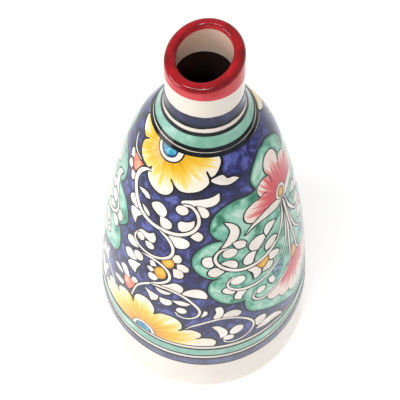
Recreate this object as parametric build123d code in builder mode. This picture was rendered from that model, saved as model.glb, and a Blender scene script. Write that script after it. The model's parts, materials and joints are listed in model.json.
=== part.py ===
from build123d import *
import math
import os

# A talavera bottle vase: one thrown clay body, its white tin glaze, and the enamel colours fired on top of it.
#
# The vase stands on the XY plane with its axis on +Z. The front is the -Y side, and +X is to the right.
# Heights and radii are in millimetres, angles in degrees. Every coat follows the same outline, grown by
# the thickness of what lies under it, so that each layer shares its faces with the next one.

# Clay body
CLAY_RADIUS = 74.6          # widest point, just above the foot
HEEL_RADIUS = 7.0           # rounding between the base and the wall
WALL = 3.6                  # clay thickness, the same in the floor, the wall and the neck
BASE_RECESS_RADIUS = 58.0   # the middle of the base is scraped hollow, so the vase stands on a ring
BASE_RECESS_DEPTH = 1.2

# Outline of the clay, from the foot upwards: how far the wall leans in, and the radius of each stretch
LEAN_AT_FOOT = 6.8
LEAN_AT_BELLY = 10.3
LEAN_AT_SHOULDER = 19.6
LEAN_AT_FLARE = 41.3
LEAN_AT_NECK = 3.0
BELLY_CURVE = 1490.0
SIDE_CURVE = 574.0
SHOULDER_CURVE = 77.5
FLARE_CURVE = 22.0
BLANK_TOP = 265.0           # the neck before its mouth is cut

# Mouth, cut on a slant
MOUTH_HEIGHT = 247.7
MOUTH_TILT = 18.0
MOUTH_HIGH_SIDE = 60.0      # direction of the high side, counted from +X towards +Y
LIP_OUTER_ROUNDING = 2.2
LIP_INNER_ROUNDING = 1.0

# Coats
GLAZE = 0.4
ENAMEL = 0.2
GLAZE_FOOT_HEIGHT = 3.0     # the glaze stops short of the standing ring
GLAZE_BORE_HEIGHT = 235.8   # inside the neck the glaze ends here, and the clay below is bare
LIP_ENAMEL_HEIGHT = 238.2
LIP_ENAMEL_DEPTH = 1.7      # how far the lip's red reaches down into the bore

# Enamel rings, as the heights of their lower and upper edges
FIELD_LOW = 70.3
FIELD_HIGH = 210.7
RINGS = {
    "neck_cobalt_band": (221.9, 228.2),
    "neck_black_ring_top": (218.2, 219.9),
    "neck_mint_band": (214.0, 218.2),
    "neck_black_ring_middle": (212.7, 214.0),
    "neck_black_ring_bottom": (FIELD_HIGH, 212.3),
    "foot_black_ring_top": (68.1, FIELD_LOW),
    "foot_black_ring_upper": (64.5, 66.3),
    "foot_mint_band": (57.2, 64.5),
    "foot_black_ring_lower": (55.6, 57.2),
    "foot_black_ring_bottom": (51.5, 53.2),
    "foot_blue_band": (42.8, 51.5),
}

# Painted field: two green cartouches and two cobalt panels take turns round the vase.
# Azimuths run from the front (-Y) towards +X. A half flower opens upwards or downwards.
CARTOUCHES = {"right": 62.0, "left": 242.0}
PANELS = {"front": -34.0, "back": 146.0}
HALF_FLOWER_PETALS = 7
OPENS_UP = 0.0
OPENS_DOWN = 180.0
# Flower: heart height, distance from heart to petal centres, petal radius, side it opens to
PINK_FLOWERS = {"upper": (172.0, 14.0, 5.4, OPENS_UP), "lower": (121.0, 20.0, 7.2, OPENS_DOWN)}
YELLOW_FLOWERS = {"upper": (213.0, 15.0, 5.8, OPENS_DOWN), "lower": (69.0, 28.0, 9.8, OPENS_UP)}
OUT_OF_THE_VASE = 90.0      # a cutter this long passes through the wall on one side

mouth_azimuth = math.radians(MOUTH_HIGH_SIDE)
mouth_slope = math.radians(MOUTH_TILT)
mouth_normal = Vector(
    -math.sin(mouth_slope) * math.cos(mouth_azimuth),
    -math.sin(mouth_slope) * math.sin(mouth_azimuth),
    math.cos(mouth_slope),
)
mouth_plane = Plane(origin=(0, 0, MOUTH_HEIGHT), z_dir=mouth_normal)


def outline_section(growth):
    """The half section between the axis and the clay's outline, moved outwards by growth."""
    with BuildSketch(Plane.XZ) as section:
        with BuildLine():
            heel = JernArc(
                (CLAY_RADIUS - HEEL_RADIUS, -growth), (1, 0), HEEL_RADIUS + growth, 90 + LEAN_AT_FOOT
            )
            belly = JernArc(heel @ 1, heel % 1, BELLY_CURVE + growth, LEAN_AT_BELLY - LEAN_AT_FOOT)
            side = JernArc(belly @ 1, belly % 1, SIDE_CURVE + growth, LEAN_AT_SHOULDER - LEAN_AT_BELLY)
            shoulder = JernArc(side @ 1, side % 1, SHOULDER_CURVE + growth, LEAN_AT_FLARE - LEAN_AT_SHOULDER)
            flare = JernArc(shoulder @ 1, shoulder % 1, FLARE_CURVE - growth, LEAN_AT_NECK - LEAN_AT_FLARE)
            neck_rise = BLANK_TOP - (flare @ 1).Y
            neck_shift = neck_rise * math.tan(math.radians(LEAN_AT_NECK))
            neck = Line(flare @ 1, ((flare @ 1).X - neck_shift, BLANK_TOP))
            Polyline(neck @ 1, (0, BLANK_TOP), (0, -growth), heel @ 0)
        make_face()
    return section.sketch


def vase_form(coat):
    """The hollow vase with its mouth cut and rounded, with a coat of that thickness inside and outside."""
    with BuildPart() as form:
        revolve(outline_section(coat), axis=Axis.Z)
        revolve(outline_section(-WALL - coat), axis=Axis.Z, mode=Mode.SUBTRACT)
        split(bisect_by=mouth_plane.offset(coat), keep=Keep.BOTTOM)
        for longest_first, rounding in ((True, LIP_OUTER_ROUNDING), (False, LIP_INNER_ROUNDING)):
            mouth_face = form.faces().filter_by(GeomType.PLANE).sort_by(Axis.Z)[-1]
            mouth_edge = mouth_face.edges().sort_by(SortBy.LENGTH, reverse=longest_first)[0]
            fillet(mouth_edge, radius=rounding + coat)
    return form.part


def bore_core(top_plane):
    """Everything inside the middle of the clay's thickness, up to top_plane. It parts the inside from the outside."""
    with BuildPart() as core:
        revolve(outline_section(-WALL / 2), axis=Axis.Z)
        split(bisect_by=top_plane, keep=Keep.BOTTOM)
    return core.part


def keep_between(low, high):
    """Trims the part that is being built to the heights low to high."""
    split(bisect_by=Plane.XY.offset(low), keep=Keep.TOP)
    split(bisect_by=Plane.XY.offset(high), keep=Keep.BOTTOM)


def facing_plane(azimuth):
    """A plane through the axis that looks out of the vase: its x runs to the right and its y upwards."""
    turn = math.radians(azimuth)
    return Plane(
        origin=(0, 0, 0),
        x_dir=(math.cos(turn), math.sin(turn), 0),
        z_dir=(math.sin(turn), -math.cos(turn), 0),
    )


def cartouche_sketch(plane):
    """A scalloped shield, the same on both sides of its middle line."""
    with BuildSketch(plane) as sketch:
        with BuildLine():
            crown = ThreePointArc((0, 206), (-12, 203), (-14, 190))
            upper = ThreePointArc(crown @ 1, (-30, 187), (-34, 168))
            middle = ThreePointArc(upper @ 1, (-45, 156), (-41, 141))
            lower = ThreePointArc(middle @ 1, (-48, 128), (-36, 116))
            tail = ThreePointArc(lower @ 1, (-31, 95), (0, 76))
            Line(tail @ 1, crown @ 0)
        make_face()
        mirror(about=Plane.YZ)
    return sketch.sketch


def half_flower_sketch(plane, heart_height, reach, petal_radius, first_petal):
    """Half a flower with round petals in a fan round its heart."""
    with BuildSketch(plane) as sketch:
        with Locations((0, heart_height)):
            with PolarLocations(reach, HALF_FLOWER_PETALS, first_petal, 180, endpoint=True):
                Circle(petal_radius)
        with BuildLine():
            fan = CenterArc((0, heart_height), reach, first_petal, 180)
            Line(fan @ 1, fan @ 0)
        make_face()
    return sketch.sketch


def painted_piece(coat, sketch):
    """The stretch of a coat that lies behind a sketch, looking out from the axis."""
    with BuildPart() as piece:
        add(coat)
        extrude(sketch, amount=OUT_OF_THE_VASE, mode=Mode.INTERSECT)
    return piece.part


def coat_without(coat, pieces):
    """A coat with the painted pieces taken out of it."""
    with BuildPart() as rest:
        add(coat)
        for piece in pieces:
            add(piece, mode=Mode.SUBTRACT)
    return rest.part


def save(part, name):
    """Names a finished piece and writes it."""
    part.label = name
    export_step(part, f"parts/{name}.step")


os.makedirs("parts", exist_ok=True)

clay_form = vase_form(0)
glazed_form = vase_form(GLAZE)
painted_form = vase_form(GLAZE + ENAMEL)

# The thrown clay body, with its base scraped hollow
with BuildPart() as clay_body:
    add(clay_form)
    with BuildSketch(Plane.XY):
        Circle(BASE_RECESS_RADIUS)
    extrude(amount=BASE_RECESS_DEPTH, mode=Mode.SUBTRACT)
save(clay_body.part, "clay_body")

# The white glaze: one dipped coat, over the outside and the lip and a little way down the bore
with BuildPart() as white_glaze:
    add(glazed_form)
    add(clay_form, mode=Mode.SUBTRACT)
    split(bisect_by=Plane.XY.offset(GLAZE_FOOT_HEIGHT), keep=Keep.TOP)
    add(bore_core(Plane.XY.offset(GLAZE_BORE_HEIGHT)), mode=Mode.SUBTRACT)
save(white_glaze.part, "white_glaze")

# The red lip, over the edge and into the bore
with BuildPart() as red_lip_enamel:
    add(painted_form)
    add(glazed_form, mode=Mode.SUBTRACT)
    split(bisect_by=Plane.XY.offset(LIP_ENAMEL_HEIGHT), keep=Keep.TOP)
    add(bore_core(mouth_plane.offset(-LIP_ENAMEL_DEPTH)), mode=Mode.SUBTRACT)
save(red_lip_enamel.part, "red_lip_enamel")

# The enamel on the outside of the wall, from which the rings and the painted field are cut
with BuildPart() as outer_enamel:
    revolve(outline_section(GLAZE + ENAMEL), axis=Axis.Z)
    revolve(outline_section(GLAZE), axis=Axis.Z, mode=Mode.SUBTRACT)
    keep_between(GLAZE_FOOT_HEIGHT, LIP_ENAMEL_HEIGHT)

for ring_name, (ring_low, ring_high) in RINGS.items():
    with BuildPart() as ring:
        add(outer_enamel.part)
        keep_between(ring_low, ring_high)
    save(ring.part, ring_name)

# The painted field: yellow flowers on the cobalt ground, and pink flowers on the green cartouches
with BuildPart() as painted_field:
    add(outer_enamel.part)
    keep_between(FIELD_LOW, FIELD_HIGH)

field_pieces = []
for panel, azimuth in PANELS.items():
    for place, flower in YELLOW_FLOWERS.items():
        yellow_flower = painted_piece(painted_field.part, half_flower_sketch(facing_plane(azimuth), *flower))
        save(yellow_flower, f"yellow_flower_{place}_{panel}")
        field_pieces.append(yellow_flower)

for side, azimuth in CARTOUCHES.items():
    cartouche = painted_piece(painted_field.part, cartouche_sketch(facing_plane(azimuth)))
    field_pieces.append(cartouche)
    pink_flowers = []
    for place, flower in PINK_FLOWERS.items():
        pink_flower = painted_piece(cartouche, half_flower_sketch(facing_plane(azimuth), *flower))
        save(pink_flower, f"pink_flower_{place}_{side}")
        pink_flowers.append(pink_flower)
    save(coat_without(cartouche, pink_flowers), f"green_cartouche_{side}")

save(coat_without(painted_field.part, field_pieces), "cobalt_ground")
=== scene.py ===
import json
import math

import bpy
import numpy as np
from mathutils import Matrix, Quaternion, Vector, kdtree, noise
from mathutils.geometry import delaunay_2d_cdt

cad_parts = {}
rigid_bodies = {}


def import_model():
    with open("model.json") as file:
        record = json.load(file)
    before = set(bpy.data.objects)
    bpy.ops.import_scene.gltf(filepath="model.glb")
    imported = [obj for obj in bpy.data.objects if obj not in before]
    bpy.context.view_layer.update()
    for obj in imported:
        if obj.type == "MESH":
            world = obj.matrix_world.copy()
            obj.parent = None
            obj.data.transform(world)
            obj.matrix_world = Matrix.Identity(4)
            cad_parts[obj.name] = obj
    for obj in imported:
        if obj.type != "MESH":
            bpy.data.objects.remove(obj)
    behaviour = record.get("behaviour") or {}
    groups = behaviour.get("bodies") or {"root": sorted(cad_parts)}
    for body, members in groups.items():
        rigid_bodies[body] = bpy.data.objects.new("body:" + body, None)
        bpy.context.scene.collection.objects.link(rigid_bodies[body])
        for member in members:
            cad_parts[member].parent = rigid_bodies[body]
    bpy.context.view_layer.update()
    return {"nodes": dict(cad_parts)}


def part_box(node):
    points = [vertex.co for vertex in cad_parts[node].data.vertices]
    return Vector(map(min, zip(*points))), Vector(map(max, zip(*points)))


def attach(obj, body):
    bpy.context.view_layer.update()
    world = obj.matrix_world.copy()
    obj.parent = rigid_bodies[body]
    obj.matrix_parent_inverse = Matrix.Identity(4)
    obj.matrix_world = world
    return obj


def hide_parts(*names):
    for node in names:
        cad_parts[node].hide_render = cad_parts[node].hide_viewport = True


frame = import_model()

# A talavera bottle vase. The clay, the white glaze and the red lip are the CAD nodes with their materials.
# The painted enamel is laid out flat in this script, as a drawing over (azimuth, height), and is then
# wrapped round the vase, so that each colour is its own thin solid with brushed outlines between them.
# Azimuths are in degrees from the front (-Y) towards +X, and heights and lengths in millimetres.

MM = 0.001

# ---- The surface that the enamel is painted on ----

CLAY_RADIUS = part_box("clay_body")[1].x / MM
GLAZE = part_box("white_glaze")[1].x / MM - CLAY_RADIUS
ENAMEL = 0.2                # thickness of the painted enamel over the glaze
HEEL_RADIUS = 7.0
# The outline's arcs from the foot upwards: the arc's radius, negative where it is hollow, and the wall's
# lean at its end
OUTLINE_ARCS = [(HEEL_RADIUS, 6.8), (1490.0, 10.3), (574.0, 19.6), (77.5, 41.3), (-22.0, 3.0)]
ARC_STEPS = 60
NECK_TOP = 265.0


def outline(growth):
    """Heights, radii and leans along the clay's outline, moved outwards by growth."""
    lean = math.radians(-90)
    radius = CLAY_RADIUS - HEEL_RADIUS
    height = -growth
    heights, radii, leans = [height], [radius], [lean]
    for arc_radius, lean_after in OUTLINE_ARCS:
        bend = arc_radius + growth
        centre_radius = radius - bend * math.cos(lean)
        centre_height = height - bend * math.sin(lean)
        for t in np.linspace(lean, math.radians(lean_after), ARC_STEPS + 1)[1:]:
            radius = centre_radius + bend * math.cos(t)
            height = centre_height + bend * math.sin(t)
            heights.append(height)
            radii.append(radius)
            leans.append(t)
        lean = math.radians(lean_after)
    heights.append(NECK_TOP)
    radii.append(radius - (NECK_TOP - height) * math.tan(lean))
    leans.append(lean)
    return np.array(heights), np.array(radii), np.array(leans)


SURFACE_HEIGHTS, SURFACE_RADII, SURFACE_LEANS = outline(GLAZE + ENAMEL)


def lean_at(height):
    return np.interp(height, SURFACE_HEIGHTS, SURFACE_LEANS)


def scale_at(height):
    """Millimetres on the surface for each degree of azimuth, and for each millimetre of height."""
    radius = np.interp(height, SURFACE_HEIGHTS, SURFACE_RADII)
    return np.radians(1) * radius, 1 / np.cos(lean_at(height))


def on_surface(azimuth, height, lift):
    """Points in metres, lift millimetres out from the finished surface, and the surface's normals there."""
    turn = np.radians(azimuth)
    lean = lean_at(height)
    radius = np.interp(height, SURFACE_HEIGHTS, SURFACE_RADII) + lift * np.cos(lean)
    points = np.stack([radius * np.sin(turn), -radius * np.cos(turn), height + lift * np.sin(lean)], axis=1)
    normals = np.stack([np.cos(lean) * np.sin(turn), -np.cos(lean) * np.cos(turn), np.sin(lean)], axis=1)
    return points * MM, normals


# ---- Brush work: smooth outlines, filled shapes and strokes, gathered in painting order ----

CORNER = math.radians(84)   # an outline that turns more than this at a point has a corner there
SAMPLE = 1.0                # spacing along outlines
CAP_SIDES = 8
KNOB_SIDES = 10
LINE = 0.62                 # usual width of a black outline
SCROLL_LINE = 0.64          # width of the black lines beside a scroll
KNOB_LINE = 0.45
FINE_LINE = 0.4             # outlines of small leaves, buds and hearts
STEM_LINE = 0.6
HAND_PATCH = 0.22           # how quickly a brushed line's width wavers along a millimetre
HAND_SHARE = 0.55           # and by how much of the width
TIP_WIDTH = 0.45            # width at the tips of an open line, as a share of its full width
TAPER = 6                   # the tips taper over one part in this many of the line
SCROLL_START_WIDTH = 0.15   # a scroll opens from this share of its width
SCROLL_OPENING = 9          # at this rate along its length
TAIL_START = 0.55           # it narrows from this share of its length
TAIL_LENGTH = 0.45
TAIL_WIDTH = 0.55
HALF_TURN = 180.0           # the whole painting repeats after half a turn
STRIP_START = -118.0        # the flat drawing covers half a turn from here

painting = []               # (piece, kind, polygon) in painting order
line_points = []            # points along every black line, for the shading beside them


def flat_mm(points):
    """A drawing's points as nearly true millimetres, using the scale at its middle height."""
    across, up = scale_at(points[:, 1].mean())
    return points * np.array([across, up])


def corners_of(points, closed):
    """Indices where the outline turns sharply, and both ends of an open line."""
    flat = flat_mm(points)
    count = len(points)
    found = []
    for i in range(count):
        if not closed and i in (0, count - 1):
            found.append(i)
            continue
        before = flat[i] - flat[i - 1]
        after = flat[(i + 1) % count] - flat[i]
        turn = math.atan2(before[0] * after[1] - before[1] * after[0], before @ after)
        if abs(turn) > CORNER:
            found.append(i)
    return found


def smooth(points, closed):
    """Samples of a smooth curve through the points, and the indices of the corners among them."""
    points = np.array(points, float)
    flat = flat_mm(points)
    count = len(points)
    sharp = set(corners_of(points, closed))
    last = count if closed else count - 1
    samples, corner_samples = [], []
    for i in range(last):
        j = (i + 1) % count
        chord = np.linalg.norm(flat[j] - flat[i])
        if i in sharp:
            corner_samples.append(len(samples))
        start_slope = points[j] - points[i] if i in sharp else direction_through(points, flat, i, chord)
        end_slope = points[j] - points[i] if j in sharp else direction_through(points, flat, j, chord)
        steps = max(2, math.ceil(chord / SAMPLE))
        for t in np.arange(steps) / steps:
            samples.append(
                (2 * t**3 - 3 * t**2 + 1) * points[i]
                + (t**3 - 2 * t**2 + t) * start_slope
                + (3 * t**2 - 2 * t**3) * points[j]
                + (t**3 - t**2) * end_slope
            )
    if not closed:
        corner_samples.append(len(samples))
        samples.append(points[-1])
    return np.array(samples), corner_samples


def direction_through(points, flat, i, chord):
    """The curve's slope at point i, as long as the chord it belongs to."""
    j = (i + 1) % len(points)
    span = np.linalg.norm(flat[j] - flat[i - 1])
    return (points[j] - points[i - 1]) * (chord / max(span, 1e-6))


def fill(piece, kind, samples):
    painting.append((piece, kind, np.array(samples, float)))


def ribbon(piece, kind, line, widths, closed=False):
    """A band of the given widths along a line, as one quad for each step."""
    across, up = scale_at(line[:, 1])
    if closed:
        ahead = np.roll(line, -1, axis=0) - np.roll(line, 1, axis=0)
    else:
        ahead = np.gradient(line, axis=0)
    ahead = ahead * np.stack([across, up], axis=1)
    ahead /= np.maximum(np.linalg.norm(ahead, axis=1, keepdims=True), 1e-9)
    side = np.stack([-ahead[:, 1] / across, ahead[:, 0] / up], axis=1) * (widths / 2)[:, None]
    left, right = line + side, line - side
    last = len(line) if closed else len(line) - 1
    for i in range(last):
        j = (i + 1) % len(line)
        painting.append((piece, kind, np.array([right[i], right[j], left[j], left[i]])))


def dot(piece, kind, centre, width):
    """A filled round spot, width millimetres across."""
    across, up = scale_at(centre[1])
    half = np.array([width / 2 / across, width / 2 / up])
    turns = np.arange(CAP_SIDES) * 2 * math.pi / CAP_SIDES
    fill(piece, kind, np.array(centre) + half * np.stack([np.cos(turns), np.sin(turns)], axis=1))


def hand_width(line, width, seed):
    """A brush line's width along its length, uneven as a hand makes it."""
    flat = line * np.array(scale_at(line[:, 1].mean()))
    uneven = [noise.noise(Vector((p[0] * HAND_PATCH, p[1] * HAND_PATCH, seed))) for p in flat]
    return width * (1 + HAND_SHARE * np.array(uneven))


def brush(piece, points, width=LINE, closed=False, seed=0.0, taper=True):
    """A black line through the points, thinner towards the ends of an open one."""
    samples, sharp = smooth(points, closed)
    line_points.extend(samples)
    if closed and not sharp:
        ribbon(piece, "black", samples, hand_width(samples, width, seed), closed=True)
        return
    if closed:
        samples = np.roll(samples, -sharp[0], axis=0)
        sharp = [s - sharp[0] for s in sharp] + [len(samples)]
        samples = np.vstack([samples, samples[:1]])
    for start, end in zip(sharp, sharp[1:]):
        stretch = samples[start:end + 1]
        widths = hand_width(stretch, width, seed)
        if taper and not closed:
            along = np.linspace(0, 1, len(stretch))
            near_tip = np.minimum(along, 1 - along)
            widths = widths * (TIP_WIDTH + (1 - TIP_WIDTH) * np.minimum(1, TAPER * near_tip))
        ribbon(piece, "black", stretch, widths)
        for end_point, end_width in ((stretch[0], widths[0]), (stretch[-1], widths[-1])):
            dot(piece, "black", end_point, end_width)


def outlined(piece, kind, line_piece, points, width=LINE):
    """A filled shape with a black outline round it. The shape is painted over the outline's inner half."""
    samples, _ = smooth(points, True)
    brush(line_piece, points, 2 * width, closed=True, seed=points[0][0])
    fill(piece, kind, samples)


def scroll(piece, kind, line_piece, points, width, line=SCROLL_LINE):
    """A pale tendril between two black lines, drawn out thin at its far end."""
    samples, _ = smooth(points, False)
    along = np.linspace(0, 1, len(samples))
    tail = np.clip((along - TAIL_START) / TAIL_LENGTH, 0, 1)
    opening = np.clip(SCROLL_START_WIDTH + along * SCROLL_OPENING, 0, 1)
    body = width * (1 - (1 - TAIL_WIDTH) * tail) * opening
    ribbon(line_piece, "black", samples, body + 2 * hand_width(samples, line, points[0][1]))
    ribbon(piece, kind, samples, body)
    line_points.extend(samples)


def knob(piece, kind, line_piece, centre, half_width, half_height, width=KNOB_LINE):
    """An oval bud; half_width is in degrees and half_height in millimetres."""
    turns = np.arange(KNOB_SIDES) * 2 * math.pi / KNOB_SIDES
    loop = [(centre[0] + half_width * math.cos(t), centre[1] + half_height * math.sin(t)) for t in turns]
    outlined(piece, kind, line_piece, loop, width)


# ---- The drawing on a cobalt panel ----

PETAL_LINE = 0.85
YELLOW_UPPER_PETALS = [
    (-87, 211.6), (-88, 210.9), (-86, 209.8), (-77, 207.2), (-67, 206.4), (-63.5, 207.4),
    (-67.3, 205.4), (-66.5, 203.2), (-61, 199.8), (-52, 198.2), (-48.5, 198.3), (-46.4, 199.6),
    (-48.6, 197), (-46.6, 194.1), (-41, 191.4), (-33.7, 190.2), (-27, 191.5), (-23.2, 194.5),
    (-23.6, 197.2), (-26.4, 199.5), (-22, 196.7), (-17, 195.4), (-8.7, 195.9), (-1, 197.7), (4.2, 200.2),
    (4.8, 202), (2.4, 205.4), (6, 202.8), (10.5, 204.1), (15.6, 207.6), (16.8, 209.4), (15, 211.6),
]
YELLOW_UPPER_RIM = [
    (-51.5, 211.6), (-48.6, 209.2), (-43, 207), (-35, 206), (-26, 207), (-21.4, 209), (-19.6, 211.6),
]
YELLOW_UPPER_HEART = [
    (-47.5, 211.6), (-44.4, 209.4), (-39, 207.9), (-33.6, 207.8), (-28.4, 209), (-26.4, 211.6),
]

YELLOW_LOWER_PETALS = [
    (5.2, 69.6), (6.6, 72.5), (6.9, 76.5), (4, 80.2), (0, 80.9), (-3.8, 79.6), (-1, 83), (-1.6, 87.2),
    (-5.6, 90), (-9.5, 89.3), (-13, 86.8), (-11.1, 90.5), (-12, 97), (-16.2, 101), (-21, 101.4),
    (-24.4, 99.6), (-27.2, 96.2), (-26.9, 102), (-29.5, 107.4), (-33.8, 109.3), (-38.2, 107.4),
    (-40.6, 101), (-41, 95), (-43, 99), (-47, 100.6), (-51.5, 98), (-53.4, 94), (-52.6, 89.6),
    (-55.5, 92.6), (-60, 93), (-63, 90), (-63.6, 85), (-62, 81.6), (-66, 81), (-67.6, 77.5), (-66.4, 73),
    (-65, 69.6),
]
YELLOW_LOWER_RIM = [
    (-26, 69.6), (-27, 74.5), (-30, 78.4), (-33.4, 79.6), (-37, 78.4), (-40, 74.5), (-40.8, 69.6),
]
YELLOW_LOWER_HEART = [(-28.4, 69.6), (-29.4, 74), (-32.2, 77), (-35.4, 77), (-38, 74.2), (-38.6, 69.6)]

PANEL_LEAVES = [
    # beside and under the upper flower
    [
        (4.6, 202), (11, 203.2), (16, 203.4), (18.8, 201.7), (24.5, 201.5), (28.8, 200.2), (21, 198.9),
        (13, 199.5), (7, 201),
    ],
    [
        (-16.2, 189.8), (-15.4, 191.3), (-4.5, 192.8), (5, 194), (11.4, 195.8), (10.8, 192), (6.6, 189.8),
        (0, 189.1), (-9, 189.7),
    ],
    # round the first scroll
    [(-74, 196), (-72, 197.4), (-68, 196), (-67.6, 194), (-72, 193)],
    [(-71, 191), (-69, 192.6), (-65.2, 191), (-65, 188.7), (-69.4, 188.4)],
    [(-64, 189), (-62.8, 185.4), (-60.3, 184.3), (-58.2, 186.2), (-58.7, 189.3)],
    [(-5, 189.6), (0.8, 188.6), (3.6, 185.6), (2.2, 183.3), (-1, 183.4)],
    [(-15.9, 179), (-11, 179.4), (-6, 181), (-6.6, 177.4), (-10.4, 174.3), (-15, 173.4), (-16.9, 176.4)],
    [(-4.6, 174.2), (-1.2, 173), (-0.6, 170.6), (-3.4, 168.4), (-8.4, 170.6)],
    [(-37.6, 182), (-35.6, 184.4), (-31, 185.7), (-26.4, 183.6), (-25.6, 180.6), (-28, 178.2), (-33, 179)],
    [(-29.8, 178), (-25, 178), (-21.4, 176.4), (-21.4, 173.2), (-25, 171.8), (-28.4, 172.8)],
    [(-51.4, 185.5), (-46.4, 186.7), (-41.6, 186.2), (-39.6, 184.2), (-43.7, 183.4)],
    [(-45, 178.2), (-41, 177.5), (-38, 175.6), (-37.8, 173.7), (-41.6, 174.9)],
    [(-57.2, 176), (-55.3, 178.4), (-52, 178.7), (-45, 174), (-50, 172.7), (-55, 173.4)],
    [
        (-42.4, 172.4), (-48, 172.3), (-53.2, 171), (-53.5, 168.4), (-51, 165.3), (-47.2, 163),
        (-46.9, 167.6),
    ],
    # round the second scroll
    [(-22.4, 168.2), (-15.6, 169.2), (-10, 168), (-8.7, 165.4), (-11.4, 162.5), (-17, 162)],
    [(-18.6, 155.4), (-14.6, 156.9), (-12.9, 154.4), (-14, 151.4), (-17.6, 150.6)],
    [
        (-43.7, 160.4), (-41, 162.5), (-36, 162.9), (-32.3, 165.4), (-30.4, 162), (-32.2, 158.4),
        (-37.6, 158.9),
    ],
    [(-37.6, 156.4), (-34, 157.6), (-31, 156), (-31.6, 153.7), (-35.4, 153.2)],
    [(-15.6, 149.8), (-12, 150.4), (-8.6, 148), (-9.6, 145.3), (-14.6, 145.8)],
    [(-17.8, 145.6), (-13.4, 145.8), (-11.4, 142.8), (-12.6, 139.6), (-17, 139.4)],
    # round the third scroll
    [(-51, 149.5), (-49.4, 151.7), (-46, 151.9), (-41.2, 147.8), (-46, 145.9), (-50, 146.6)],
    [(-51, 138.5), (-48.6, 141.6), (-45.6, 141.8), (-41, 137.5), (-44.4, 135.2), (-48.6, 134.6)],
    [(-38, 136.5), (-44, 134.4), (-47.5, 130.8), (-46.2, 128), (-41.2, 125.7), (-40.6, 130.6)],
    [(-32.6, 144.5), (-30, 145.5), (-27.8, 142.4), (-31.2, 140.9)],
    [(-34, 138.5), (-31.5, 140), (-28.8, 138.4), (-31, 136)],
    [(-32, 134.5), (-28.7, 135.2), (-26, 133.2), (-28.6, 129.9), (-31.8, 130.4)],
    # round the fourth scroll
    [(-24.4, 128.5), (-20, 131.2), (-16.4, 134), (-12.6, 133.2), (-11.2, 130.2), (-13.4, 126.6)],
    [(-12.2, 125.8), (-9.6, 129.5), (-4.6, 132), (-0.4, 131), (2, 127), (1.8, 123.8), (-4, 124.6)],
    [(-27.4, 124.5), (-17.6, 124.5), (-19.6, 122.3), (-22.8, 121.3), (-25.6, 122.2)],
    [(-33.8, 119), (-25, 117.6), (-26, 113), (-29.4, 110.2), (-31.4, 115.4)],
    [(-24.4, 117), (-17.6, 117.6), (-17.4, 114), (-20.4, 111.4), (-23.6, 112.6)],
    [(-17.2, 117.9), (-12, 119.4), (-7, 118), (-8.8, 115.9), (-13, 115.4)],
    [(0.3, 111.8), (2.1, 111), (1.4, 107.4), (-1.4, 105.2), (-0.4, 108.6)],
    [(-52.6, 121), (-51, 123.6), (-48, 123.5), (-44.4, 116.5), (-49, 116.2)],
    [(-43.2, 119), (-41, 121.1), (-38.8, 119), (-40.6, 115.9), (-43.4, 116.2)],
    [(-58.5, 115), (-56, 117), (-52, 116), (-50, 113.5), (-54.4, 113)],
    [(-58, 103), (-54, 106), (-49, 106), (-50, 102), (-56, 101.5)],
]
CORAL_BUDS = [
    [(-69.5, 196.2), (-66, 197.3), (-54.4, 197.2), (-57, 193.4), (-60.4, 190), (-63.4, 191)],
    [(-49, 116.1), (-40.4, 116), (-41.6, 110.6), (-45, 103.6), (-48.8, 108.4)],
]
AMBER_BUDS = [
    [(-25, 148.6), (-20.6, 153), (-17.5, 150.8), (-17.8, 146.6), (-21, 145)],
    [(-29, 138.6), (-27.6, 142), (-24.8, 143.4), (-22, 141), (-21.6, 137), (-23.6, 134.2), (-26.6, 134)],
]
PANEL_SCROLLS = [
    [
        (-45, 198.2), (-50, 197), (-55, 193.4), (-56.4, 188.5), (-54.8, 184.4), (-51, 179), (-44.8, 174),
        (-37, 171.2), (-27, 170.2), (-17, 170.6), (-9, 173), (-4.4, 177), (-3.2, 181.4), (-5, 186),
        (-9.2, 189), (-14.4, 189),
    ],
    [
        (-29.5, 169.4), (-22.8, 166), (-18.9, 160.6), (-19.2, 155.6), (-23, 151.6), (-30, 149),
        (-38, 149.2), (-43.6, 151.4), (-45.7, 155), (-43.5, 159.7),
    ],
    [
        (-38.6, 146.3), (-31, 147), (-24, 145), (-20, 141), (-19.6, 135.8), (-23, 131.4),
        (-29, 127), (-35, 121.4), (-39, 115.4), (-41.2, 107.6), (-42.4, 101.2),
    ],
    [
        (-31, 125.4), (-25, 126.8), (-18, 126.8), (-11, 124), (-5.4, 118.4), (-2.1, 112),
        (-3.2, 106.2), (-8, 102.9), (-13, 103.8), (-15.2, 107),
    ],
    [(-79, 203.4), (-74.6, 200.4), (-68.6, 198.5), (-58.7, 198)],
]
PANEL_SCROLL_WIDTHS = [2.2, 1.6, 1.5, 1.6, 0.8]
# Buds at the ends of the scrolls: centre, half width in degrees, half height
PANEL_KNOBS = [
    ((-15, 186), 4.5, 2.7),
    ((-41.2, 157.4), 2.9, 2.5),
    ((-40.6, 142), 3.5, 3.3),
    ((-11.8, 110), 2.9, 2.8),
]
PANEL_LINES = [
    [(-51, 184.5), (-43.7, 183.4), (-37, 180.4), (-32, 177), (-28.6, 172)],
    [(-44.6, 144.6), (-44.2, 140.4), (-40.4, 138)],
    [(2.2, 205.6), (4.4, 203.6), (5.4, 201.6), (5, 200)],
]

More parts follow.
